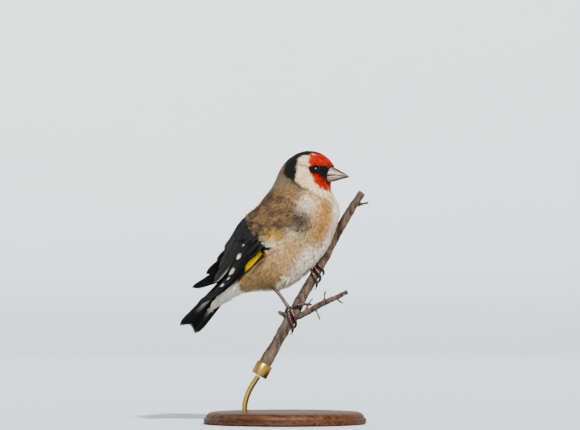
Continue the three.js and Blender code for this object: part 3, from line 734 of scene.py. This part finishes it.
def markings(points):
    shifted = points + 0.3 * across_noise(points, 1.4)[:, None]
    x, z, s = shifted[:, 0], shifted[:, 2], np.abs(points[:, 1])
    along, vent = body_axes(shifted)
    colour = np.tile(TONE["tan"], (len(points), 1))
    coarse = across_noise(points, 3.1, 2.0)

    def lay(name, weight):
        nonlocal colour
        weight = np.clip(weight, 0, 1)[:, None]
        colour = colour * (1 - weight) + TONE[name] * weight

    def blob(cx, cz, rx, rz):
        return np.exp(-(((x - cx) / rx) ** 2) - ((z - cz) / rz) ** 2)

    lay("flank", ramp(-along, 2, 16) * (1 - ramp(vent, 15, 21)))
    # A darker olive brown on the lower rear flank, under the belly, is painted shade over the flank's brown.
    lay("underside_shade", 0.75 * ramp(-along, 12, 24) * ramp(vent, 4, 16) * (1 - ramp(vent, 19, 23)))
    breast = ramp(z, 94, 106) * (1 - ramp(z, 121, 126))
    lay("buff", 0.95 * np.exp(-(((s - 10.5) / 5.2) ** 2)) * ramp(vent, 6, 14) * breast)
    lay("belly", ramp(vent, 15.5, 21.5) * (1 - ramp(along, 4, 15)) * ramp(along, -26, -18))
    mid_breast = 1 - 0.6 * np.exp(-(((z - 105) / 6) ** 2))
    lay("belly", (1 - ramp(s, 2.5, 7.0)) * ramp(vent, 2, 10) * mid_breast)
    weight, past_edge = mantle_weight(shifted)
    lay("mantle", weight)
    lay("mantle_dark", 0.8 * weight * ramp(coarse, -0.1, 0.5) * (1 - ramp(past_edge, -9, 0)))
    streaks = ramp(across_noise(points, 2.0, 4.0), -0.2, 0.3)
    wisps = 0.6 + 0.4 * ramp(across_noise(points, 1.0, 1.0), -0.3, 0.3)
    for name, amount, cx, cz, rx, rz, inner, outer in (
            ("shoulder", 0.8, 10, 121, 7, 5, 8, 13), ("mantle_dark", 0.4, 16, 122, 2.4, 2, 8, 13),
            ("mantle_pale", 0.75 * streaks, -1.5, 105, 4.6, 4.5, 14, 17),
            ("fluff", 1.1, 18, 117, 4.4, 6.5, 9, 13), ("fluff", 0.75, 12, 103, 5, 3, 12, 16),
            ("grey", 1.6 * wisps, 15.5, 108.5, 4.8, 5.4, 9, 13),
            ("yellow", 0.95, 0.6, 100.8, 4.4, 2.2, 14, 17), ("fluff", 0.85, -1.6, 97.2, 5, 2.4, 14, 17)):
        lay(name, amount * blob(cx, cz, rx, rz) * ramp(s, inner, outer))
    lay("vent", ramp(-x, 22.5, 24.5) * ramp(vent, -14, -9))
    lay("rump", ramp(-x, 19, 24) * (1 - ramp(vent, -16, -11)) * (1 - ramp(z, 98, 108)))
    lay("nape", ramp(z, 124, 130) * (1 - ramp(x, 12, 20)))

    bottom = np.interp(x, [1, 4, 8, 9.75, 12.5, 15.3, 19.2, 22, 24, 27],
                       [136, 133, 131.5, 130.9, 129, 127.4, 125.2, 123.7, 122.0, 119.5])
    lay("cream", ramp(x, 9.6, 10.4) * ramp(z, bottom - 0.5, bottom + 0.5))
    lay("buff", 0.22 * blob(13.5, 132, 3.5, 4) * ramp(s, 5, 7))
    lay("fluff", 0.8 * blob(12.5, 143.5, 3.0, 2.0) * ramp(s, 4, 6))
    cheek_top = z - 140.3 + 0.15 * (x - 10)
    lay("cheek_line", 0.8 * np.exp(-((cheek_top / 0.55) ** 2)) * ramp(x, 10, 11.5) * (1 - ramp(x, 16, 17.5)))
    lay("black", ramp(x, 1.6, 3.4) * (1 - ramp(x, 9.9, 10.9)) * ramp(z, bottom - 0.6, bottom + 0.6))
    under_cheek = np.exp(-(((z - bottom + 0.5) / 1.05) ** 2))
    lay("black", under_cheek * ramp(x, 8, 9) * (1 - 0.9 * ramp(x, 15.5, 20)) * ramp(22 - x, 0, 2))
    half_crown = np.interp(x, [2, 8, 12, 17], [12, 8.6, 6.6, 6.2])
    lay("black", (1 - ramp(s, half_crown - 0.6, half_crown + 0.6)) * ramp(z, 138, 141) * ramp(x, 1.0, 3.0))
    front = np.interp(z, [122.6, 124.6, 126.4, 129.4, 135.1, 136.5, 139.3, 142, 146, 149],
                      [27.8, 25.9, 23.3, 20.6, 18.0, 17.0, 16.6, 16.2, 16.2, 17.6])
    lay("red", ramp(x, front - 0.35, front + 0.35) * ramp(z, 121.9, 122.7))
    mottle = ramp(across_noise(points, 0.9, 5.0), -0.1, 0.5)
    lay("red_dark", 0.75 * mottle * ramp(x, front + 0.3, front + 2.5) * ramp(z, 124, 125))
    crown = ramp(z, 145.6, 146.6) * (1 - ramp(x, 19.5, 22.0))
    lay("black", (1 - ramp(s, 3.4, 4.6)) * crown * ramp(x, 10, 12))
    # A small white spot on the forehead, where the red meets the black crown, is a painted highlight.
    lay("belly", 0.9 * blob(17.6, 145.6, 0.5, 0.35) * ramp(s, 2, 3))
    lower = np.interp(x, [16.4, 18.3, 22.9, 24.8, 27.2], [138.0, 135.9, 133.9, 130.9, 129.6])
    lay("black", ramp(x, 15.4, 16.4) * ramp(z, lower - 0.5, lower + 0.5) * (1 - ramp(z, 139.2, 140.0)))
    chin = ramp(z, 128.6, 129.4) * (1 - ramp(z, 139.6, 140.4))
    lay("black", ramp(x, 24.6, 25.6) * (1 - ramp(s, 4.4, 5.2)) * chin)
    return colour


# The skin shows only in the gaps under the coat, so its colours are painted at three quarters of the coat's,
# as painted shade.
SKIN_SHADE = 0.75
paint_points(skin.data, markings(points_of(skin)) * SKIN_SHADE)

# %% [markdown]
# Down and contour feathers are soft, matt and a little translucent at the edge, so the finish is
# rough with a weak sheen. Streaks come from the coat's own colours, as each strand has its shade.

# %% Finish of skin and coat
def plumage_material(name, roughness):
    made, tree, shader = start_material(name)
    place = node(tree, "ShaderNodeTexCoord")
    fine = node(tree, "ShaderNodeTexNoise", {"Scale": 1800.0, "Detail": 3.0},
                {"Vector": place.outputs["Object"]})
    painted_finish(tree, shader, fine.outputs[0], 0.82, 1.18, 0.2, Roughness=roughness, Sheen_Weight=0.08,
                   Sheen_Roughness=0.6, Specular_IOR_Level=0.15)
    return made


PLUMAGE = plumage_material("contour_feathers_soft", 0.78)
finish_piece(skin, "plumage", plumage_material("bird_skin_downy", 0.9), *FLESH)

# %% [markdown]
# The coat is thousands of small feathers. Their roots are spread evenly over the skin by throwing
# darts at its points and keeping each one that is far enough from those kept before. Feathers lie
# back from the bill over the head, and along the body towards the tail.

# %% Where each feather grows
skin_points = points_of(skin)
skin_normals = normals_of(skin)
skin_tree = tree_of(skin)
wing_shapes = [tree_of(piece) for piece in wing_pieces + [tail_piece]]
EYE_SHIFT = np.array([-0.35, 0, 0])
eyes = [box_centre(name) + EYE_SHIFT for name in ("eye_right", "eye_left")]
EYE_RADIUS = 2.5
EYE_CLEAR = 2.45
EYE_OPEN = 2.0
BROW_LEVEL = 141
BILL_FRONT, BILL_LEVEL, BILL_TALL, BILL_WIDE = 24.6, 134.6, 3.3, 3.6
FOLD_REACH = 1.5
WING_REACH = 9


def spacing(points):
    head = ramp(points[:, 2], 123, 133)
    face = near_face(points, 9)
    return 1.15 - 0.33 * head - 0.17 * face


def covered(place, normal):
    start = Vector(place) + Vector(normal) * 0.2
    return any(shape.ray_cast(start, Vector(normal), WING_REACH)[0] is not None for shape in wing_shapes)


root_uv = np.zeros((len(skin_points), 2))
loops = np.empty(len(skin.data.loops), dtype=np.int32)
skin.data.loops.foreach_get("vertex_index", loops)
flat_uv = np.empty(len(loops) * 2, dtype=np.float32)
skin.data.uv_layers["SkinMap"].data.foreach_get("uv", flat_uv)
root_uv[loops] = flat_uv.reshape(-1, 2)

wanted = spacing(skin_points)
order = rng.permutation(len(skin_points))
taken = np.zeros(len(skin_points), dtype=bool)
near_tree = kdtree.KDTree(len(skin_points))
for index, place in enumerate(skin_points):
    near_tree.insert(place, index)
near_tree.balance()
kept = []
bill_root = np.array([27.0, 0, 134.8])
for index in order:
    if taken[index]:
        continue
    place, normal = skin_points[index], skin_normals[index]
    for _, other, _ in near_tree.find_range(place, wanted[index]):
        taken[other] = True
    if min(np.linalg.norm((place - eye)[[0, 2]]) + 5 * (place[1] * eye[1] < 0) for eye in eyes) < EYE_CLEAR:
        if place[2] < BROW_LEVEL:
            continue
    if place[0] > BILL_FRONT and abs(place[2] - BILL_LEVEL) < BILL_TALL and abs(place[1]) < BILL_WIDE:
        continue
    if skin_tree.ray_cast(Vector(place) + Vector(normal) * 0.3, Vector(normal), FOLD_REACH)[0] is not None:
        continue
    if covered(place, normal):
        continue
    kept.append(index)
kept = np.array(kept)
print("feathers", len(kept))

# %% [markdown]
# Each feather is a soft vane of thin strands that leave a hidden shaft and end on a rounded outline.
# The strands start at the skin and rise to the coat's depth at their tips, so each row overlaps the
# next. The outline bends to follow the skin below it, found by asking for the skin's nearest point.

# %% Growing the coat
def lie_at(points, normals):
    away = unit(points - bill_root)
    tailward = np.array([-0.66, 0, -0.75])
    weight = ramp(np.linalg.norm(points - bill_root, axis=1), 12, 30)[:, None]
    flow = away * (1 - weight) + tailward * weight
    flow = flow - normals * np.sum(flow * normals, axis=1, keepdims=True)
    return unit(flow)


def skin_below(points):
    return np.array([tuple(skin_tree.find_nearest(Vector(p))[0]) for p in points])


STRAND_FAN = 1.75
STRAND_HALF = 0.62
STRAY, LOOSE_STRAY = 0.045, 0.11
UNEVEN, LOOSE_UNEVEN = 0.06, 0.3
SHAFT_SHADE = 0.4
TUFT_PATCH = 0.003


def grow(name, chosen, strands, length, width, rise, ruffle):
    roots, normals = skin_points[chosen], skin_normals[chosen]
    count = len(chosen)
    loose = np.clip(1.2 * np.exp(-(((roots[:, 0] - 16) / 6) ** 2) - ((roots[:, 2] - 112) / 10) ** 2)
                    * ramp(np.abs(roots[:, 1]), 8, 13), 0, 1)
    loose = np.maximum(loose, ramp(body_axes(roots)[1], 17, 21) * (1 - ramp(roots[:, 2], 86, 96)))
    lie = lie_at(roots, normals)
    side = np.cross(normals, lie)
    swing = (rng.normal(0, 1, count) * (ruffle + 0.3 * loose))[:, None]
    lie = unit(lie + side * swing)
    side = np.cross(normals, lie)
    length = length * rng.uniform(0.85, 1.15, count) * (1 + 0.25 * loose)
    for eye in eyes:
        to_eye = (eye - roots) * [1, 0.3, 1]
        away = np.linalg.norm(to_eye, axis=1)
        towards = (np.sum(to_eye * lie, axis=1) > -0.3 * away) & (roots[:, 1] * eye[1] > 0) & (away < 7)
        length = np.where(towards, np.minimum(length, np.maximum(0.55, away - EYE_OPEN)), length)
    tips = roots + lie * length[:, None]
    bend = skin_below(tips) - tips
    left = roots + lie * (0.6 * length)[:, None] + side * (width / 2)[:, None]
    drop = skin_below(left) - left - bend * 0.36
    height = rise * rng.uniform(0.8, 1.2, count) * (1 + 0.35 * loose)

    angle = np.linspace(-STRAND_FAN, STRAND_FAN, strands)
    end = np.stack([0.5 * np.sin(angle), 0.66 + 0.34 * np.cos(angle)], axis=1)
    start = np.stack([0.06 * np.sin(angle), np.maximum(0.02, 0.5 - 0.27 * np.abs(angle))], axis=1)
    stray = STRAY + LOOSE_STRAY * loose[:, None, None]
    ends = end[None] + rng.normal(0, 1, (count, strands, 2)) * stray
    starts = np.broadcast_to(start[None], ends.shape)
    bow = np.stack([0.05 * np.sin(angle), 0.03 * np.cos(angle)], axis=1)[None]
    middle = starts * 0.42 + ends * 0.58 + bow
    scale = np.stack([width, length], axis=1)[:, None, :]
    run = (ends - starts) * scale
    beside = np.stack([-run[..., 1], run[..., 0]], axis=-1)
    beside = beside / np.maximum(np.linalg.norm(beside, axis=-1, keepdims=True), 1e-6)
    half = beside * (STRAND_HALF * width / strands)[:, None, None]
    a, m, e = starts * scale, middle * scale, ends * scale
    local = np.stack([a - half, a + half, m + half * 1.25, m - half * 1.25, e], axis=2)
    u, v = local[..., 0], local[..., 1]
    share = v / length[:, None, None]
    aside = u / (width / 2)[:, None, None]
    lift = height[:, None, None] * (0.1 + 0.9 * np.clip(share, 0, 1.2) ** 0.8) * (1 - 0.16 * aside ** 2)
    uneven = (UNEVEN + LOOSE_UNEVEN * loose)[:, None, None] * height[:, None, None] * share
    lift = lift + np.abs(rng.normal(0, 1, (count, strands, 1))) * uneven
    expand = (slice(None), None, None, slice(None))
    edge = np.clip(aside, -1.3, 1.3) ** 2
    points = (roots[expand] + lie[expand] * v[..., None] + side[expand] * u[..., None]
              + bend[expand] * (share ** 2)[..., None] + drop[expand] * edge[..., None]
              + normals[expand] * lift[..., None])

    tone = markings(roots + lie * (0.45 * length)[:, None])
    tip_tone = markings(roots + lie * (0.9 * length)[:, None])
    back = mantle_weight(roots)[0]
    each = rng.normal(1, 0.09, (count, 1, 1, 1)) * rng.normal(1, 0.17, (count, strands, 1, 1))
    shaft = 1 - SHAFT_SHADE * back[:, None, None, None] * np.exp(-(aside / 0.35) ** 2)[..., None]
    # Each feather is painted darker towards its root, as painted shade under the row above, and paler
    # towards its tip, most on the back, as painted light.
    blend = np.clip(share, 0, 1)[..., None]
    pale = 1.08 + 0.22 * back[:, None, None, None]
    colours = (tone[expand] * (1 - blend) * 0.8 + tip_tone[expand] * blend * pale) * each * shaft
    colours = np.clip(colours, 0.002, 0.95)
    uv = root_uv[chosen][expand] + np.stack([aside * 0.5, share - 0.5], axis=-1) * TUFT_PATCH
    base = np.arange(count * strands)[:, None] * 5
    corner = np.array([[0, 1, 2], [0, 2, 3], [3, 2, 4]])
    faces = (base[:, :, None] + corner[None]).reshape(-1, 3)
    piece = mesh_from_arrays(name, points.reshape(-1, 3), faces, colours.reshape(-1, 3), uv.reshape(-1, 2))
    print(name, count, "feathers", len(faces), "triangles")
    finish_piece(piece, "plumage", PLUMAGE)


HEAD_LINE = 126.5
on_head = skin_points[kept][:, 2] > HEAD_LINE
head_roots, body_roots = kept[on_head], kept[~on_head]
size = spacing(skin_points[head_roots])
grow("coat_head", head_roots, 9, size * 3.4, size * 2.1, 0.55, 0.08)
parts = np.array_split(body_roots[np.argsort(skin_points[body_roots][:, 2])], 3)
for part_name, part in zip(("coat_belly", "coat_flanks", "coat_breast_and_back"), parts):
    size = spacing(skin_points[part])
    grow(part_name, part, 15, size * 4.0, size * 2.3, 1.15, 0.12)

# %% [markdown]
# Legs, claws, stem and rod have the right shape as solids, but flat facets. So copies of them are
# remeshed finely, smoothed, and stretched back to the solid's box, which smoothing shrinks. Hard
# things share one finish: two shades of a colour, mixed by a fine grain that is also a relief.

# %% Smoothing a small solid, and finishing hard things
def refined(name, voxel, rounds):
    made = copy_of_node(name)
    made.name = name + "_fine"
    modify(made, "REMESH", mode="VOXEL", voxel_size=voxel * MM)
    modify(made, "SMOOTH", factor=0.5, iterations=rounds)
    points = points_of(made)
    low, high = (np.array(corner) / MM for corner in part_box(name))
    scale = (high - low) / (points.max(axis=0) - points.min(axis=0))
    set_points(made, low + (points - points.min(axis=0)) * scale)
    choose(made)
    bpy.ops.object.shade_smooth()
    print(name, len(made.data.polygons), "faces")
    return made


def plain_material(name, light, dark, scale, roughness, bump, stretch=(1, 1, 1), **others):
    made, tree, shader = start_material(name)
    place = node(tree, "ShaderNodeTexCoord")
    turned = node(tree, "ShaderNodeMapping", {"Scale": stretch}, {"Vector": place.outputs["Object"]})
    grain = node(tree, "ShaderNodeTexNoise", {"Scale": scale, "Detail": 6.0, "Roughness": 0.65},
                 {"Vector": turned.outputs[0]})
    spread = node(tree, "ShaderNodeMapRange", {"From Min": 0.36, "From Max": 0.64},
                  {"Value": grain.outputs[0]})
    relief = node(tree, "ShaderNodeBump", {"Strength": bump, "Distance": 0.0003},
                  {"Height": grain.outputs[0]})
    colour = node(tree, "ShaderNodeMix", {6: (*linear(dark), 1), 7: (*linear(light), 1)},
                  {0: spread.outputs[0]}, data_type="RGBA")
    finish_material(tree, shader, colour, relief, Roughness=roughness, **others)
    return made


# %% [markdown]
# The bill is horn: greyish pink, and dark at the tip and along the ridge; the line where it opens is
# darkened as painted shade.
# Each mandible is lofted in half rings, from that line out to the ridge or to the line below.

# %% The bill
BILL_HORN = plain_material("keratin_bill", "a98f80", "877064", 700, 0.34, 0.2)
tree = BILL_HORN.node_tree
shader = tree.nodes["Principled BSDF"]
tone = shader.inputs["Base Color"].links[0].from_socket
paint = node(tree, "ShaderNodeAttribute", attribute_name="dark")
dark = node(tree, "ShaderNodeMix", {7: (*linear("1d1715"), 1)}, {0: paint.outputs["Fac"], 6: tone},
            data_type="RGBA")
tree.links.new(dark.outputs[2], shader.inputs["Base Color"])
BILL_X = [23.8, 25.0, 26.5, 28.6, 31.0, 33.5, 35.5, 36.7, 37.3]
CULMEN = [139.6, 139.7, 139.4, 138.5, 137.3, 135.9, 134.7, 133.9, 133.6]
GAPE = [133.6, 134.0, 134.3, 134.4, 134.3, 134.1, 133.8, 133.6, 133.4]
GONYS = [130.7, 130.6, 130.7, 131.1, 131.8, 132.5, 133.0, 133.25, 133.3]
BILL_HALF = [4.1, 3.95, 3.7, 3.1, 2.3, 1.45, 0.75, 0.3, 0.06]
BILL_RINGS, BILL_SIDES = 48, 32


def mandible(name, outer, piece_name):
    x = np.linspace(BILL_X[0], BILL_X[-1], BILL_RINGS)
    edge = np.interp(x, BILL_X, GAPE)
    crest = np.interp(x, BILL_X, outer)
    half = np.interp(x, BILL_X, BILL_HALF) * (1.0 if outer is CULMEN else 0.93)
    turn = np.linspace(0, math.pi, BILL_SIDES)
    y = half[:, None] * np.cos(turn) * (1 - 0.12 * np.sin(turn) ** 2)
    z = edge[:, None] + (crest - edge)[:, None] * np.sin(turn) ** 0.85
    z = np.where(np.abs(np.cos(turn))[None] > 0.999, edge[:, None], z)
    points = np.stack([np.broadcast_to(x[:, None], y.shape), y, z], axis=-1).reshape(-1, 3)
    faces = []
    for ring in range(BILL_RINGS - 1):
        for step in range(BILL_SIDES):
            a = ring * BILL_SIDES + step
            b = ring * BILL_SIDES + (step + 1) % BILL_SIDES
            faces.append((a, b, b + BILL_SIDES, a + BILL_SIDES))
    made = mesh_from_arrays(piece_name, points, np.array(faces))
    edit_all(made, lambda: bpy.ops.mesh.fill_holes(sides=0), face_outward)
    modify(made, "SMOOTH", factor=0.3, iterations=2)
    points = points_of(made)
    tip = ramp(points[:, 0], 31.0, 35.4) * 0.95
    from_crest = np.abs(points[:, 2] - np.interp(points[:, 0], BILL_X, outer))
    ridge = 0.92 * (1 - ramp(from_crest, 0.35, 1.35)) * ramp(points[:, 0], 25.5, 28.5)
    # The line where the mandibles meet is darkened as painted shade.
    painted_gape_shade = 0.7 * (1 - ramp(np.abs(points[:, 2] - np.interp(points[:, 0], BILL_X, GAPE)), 0.02, 0.3))
    shade = np.clip(np.maximum(np.maximum(tip, ridge), painted_gape_shade), 0, 1)
    layer = made.data.attributes.new("dark", "FLOAT", "POINT")
    layer.data.foreach_set("value", shade.astype(np.float32))
    finish_piece(made, "bill_horn", BILL_HORN, name)


mandible("bill_upper", CULMEN, "upper_mandible")
mandible("bill_lower", GONYS, "lower_mandible")

# %% [markdown]
# A live bird's eye is a dark wet ball with a clear front, and only a round window of it shows,
# inside a thin rim of bare dark skin. The rim is a torus, pressed to lie on the side of the face.

# %% Eyes and lids
EYE_DARK = plain_material("wet_dark_eye", "120a07", "030202", 400, 0.03, 0.0)
LID = plain_material("bare_lid_skin", "15110f", "080606", 1500, 0.6, 0.4)
BALL_SHARE = 0.98
CORNEA = 0.1
LID_RADIUS, LID_HALF = 2.08, 0.24
LID_SQUEEZE = 0.93
LID_OUT = 1.45
for name, side in (("eye_right", RIGHT), ("eye_left", LEFT)):
    middle = box_centre(name) + EYE_SHIFT
    outward = Vector((0.2, side, 0.12)).normalized()
    eye = added(name + "_ball", bpy.ops.mesh.primitive_uv_sphere_add, segments=48, ring_count=24,
                radius=EYE_RADIUS * MM * BALL_SHARE)
    points = points_of(eye)
    facing = points @ np.array(outward) / EYE_RADIUS
    bulge = 1 + CORNEA * ramp(facing, 0.72, 0.97)
    set_points(eye, points * bulge[:, None] + middle)
    bpy.ops.object.shade_smooth()
    finish_piece(eye, "eye_dark", EYE_DARK, name)
    lid = added(name + "_lid", bpy.ops.mesh.primitive_torus_add, major_segments=48, minor_segments=12,
                major_radius=LID_RADIUS * MM, minor_radius=LID_HALF * MM)
    points = points_of(lid)
    turn = np.array(outward.to_track_quat("Z", "Y").to_matrix())
    points[:, 1] *= LID_SQUEEZE
    set_points(lid, points @ turn.T + middle + np.array(outward) * LID_OUT)
    bpy.ops.object.shade_smooth()
    finish_piece(lid, "leg_skin", LID)

# %% [markdown]
# Legs and toes wear hard skin in overlapping scutes, dark reddish brown and slightly shiny. The
# scutes are about 1 mm apart: shallow rings of relief across each toe, made by moving points.

# %% Legs, toes and claws
SCUTE = 0.95
LEG_SWELL, SCUTE_RELIEF = 0.2, 0.08
LEG_SKIN = plain_material("scaled_leg_skin", "593022", "2c1712", 700, 0.34, 0.35)
CLAW_HORN = plain_material("keratin_claw", "3a2620", "17100e", 600, 0.3, 0.1)


def scuted(name, voxel):
    piece = refined(name, voxel, 5)
    points = points_of(piece)
    centred = points - points.mean(axis=0)
    along = centred @ np.linalg.eigh(centred.T @ centred)[1][:, 2]
    wave = np.abs(np.sin(along * math.pi / SCUTE)) - 0.5
    set_points(piece, points + normals_of(piece) * (LEG_SWELL + SCUTE_RELIEF * wave)[:, None])
    return piece


for side in ("right", "left"):
    finish_piece(scuted("tarsus_" + side, 0.16), "leg_skin", LEG_SKIN, "tarsus_" + side)
    for digit in ("inner", "middle", "outer", "hind"):
        toe = f"toe_{side}_{digit}"
        finish_piece(scuted(toe, 0.15), "leg_skin", LEG_SKIN, toe)
        claw = f"claw_{side}_{digit}"
        finish_piece(refined(claw, 0.09, 2), "claw_horn", CLAW_HORN, claw)

# %% [markdown]
# The perch is a dead woody stem: matt, reddish grey-brown bark with lengthwise ridges, paler in
# places. Its ridges are real relief, from a noise that is stretched along the stem.

# %% The perch
BARK_RIDGE, BARK_SINK = 0.45, 0.05
BARK_STRETCH = 0.86
bark_piece = refined("perch", 0.42, 3)
points = points_of(bark_piece)
stem_aim = unit(np.array([0.45, 0.33, 0.83]))
ridges = []
for point in points:
    run = float(point @ stem_aim)
    flat = point - stem_aim * run * BARK_STRETCH
    ridges.append(noise.fractal(Vector(flat) * 0.9, 0.8, 2.1, 4) + 0.5 * noise.noise(Vector(point) * 0.35))
ridges = np.array(ridges)
set_points(bark_piece, points + normals_of(bark_piece) * (BARK_RIDGE * ridges - BARK_SINK)[:, None])
BARK = plain_material("dead_stem_bark", "6f5c4e", "231814", 430, 0.85, 1.0, stretch=(1, 1, 0.22))
finish_piece(bark_piece, "bark", BARK, "perch")

# %% [markdown]
# The stand is plain: a turned and oiled hardwood disc, one bent brass rod and a brass sleeve that
# holds the stem. The disc starts as its underside, which is extruded and scaled along the profile.
# Each row of the profile: how far past the disc's edge, and how high. Oiled walnut is satin, with
# its grain along the disc, and brushed brass has a soft gloss.

# %% The turned base
base_low, base_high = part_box("stand_base")
BASE_RADIUS = (base_high.x - base_low.x) / 2 / MM
BASE_HEIGHT = base_high.z / MM
FOOT_CHAMFER = 0.8
PROFILE = [(0, 0.8), (0, 3.0), (-0.5, 3.3), (-1.1, 3.6), (-1.35, 4.6), (-2.1, 5.5), (-3.2, 6.2),
           (-4.4, BASE_HEIGHT)]
base = added("turned_base", bpy.ops.mesh.primitive_circle_add, vertices=160,
             radius=(BASE_RADIUS - FOOT_CHAMFER) * MM, fill_type="NGON")


def raise_profile():
    wide, level = BASE_RADIUS - FOOT_CHAMFER, 0
    for inset, height in PROFILE:
        extrude_ring((height - level) * MM, (BASE_RADIUS + inset) / wide)
        wide, level = BASE_RADIUS + inset, height
    bpy.ops.mesh.select_all(action="SELECT")


edit_all(base, raise_profile, face_outward)
bpy.ops.object.shade_smooth_by_angle(angle=math.radians(35))
WOOD = plain_material("oiled_walnut", "6b4429", "2f1c12", 60, 0.58, 0.12, stretch=(1, 9, 9),
                      Specular_IOR_Level=0.25)
finish_piece(base, "base_wood", WOOD, "stand_base")

BRASS = plain_material("brushed_brass", "ab8f52", "967c46", 900, 0.32, 0.08, Metallic=1.0)
finish_piece(refined("stand_rod", 0.22, 3), "brass", BRASS, "stand_rod")
STEM_AIM = Vector((3.3, 1.3, 6.5)).normalized()
SLEEVE_RADIUS, SLEEVE_LENGTH = 4.5, 7.2
sleeve = added("turned_sleeve", bpy.ops.mesh.primitive_cylinder_add, vertices=64,
               radius=SLEEVE_RADIUS * MM, depth=SLEEVE_LENGTH * MM)
modify(sleeve, "BEVEL", width=0.5 * MM, segments=3, limit_method="ANGLE", angle_limit=math.radians(40))
turn = np.array(STEM_AIM.to_track_quat("Z", "Y").to_matrix())
set_points(sleeve, points_of(sleeve) @ turn.T + box_centre("stand_sleeve"))
choose(sleeve)
bpy.ops.object.shade_smooth_by_angle(angle=math.radians(35))
finish_piece(sleeve, "brass", BRASS, "stand_sleeve")
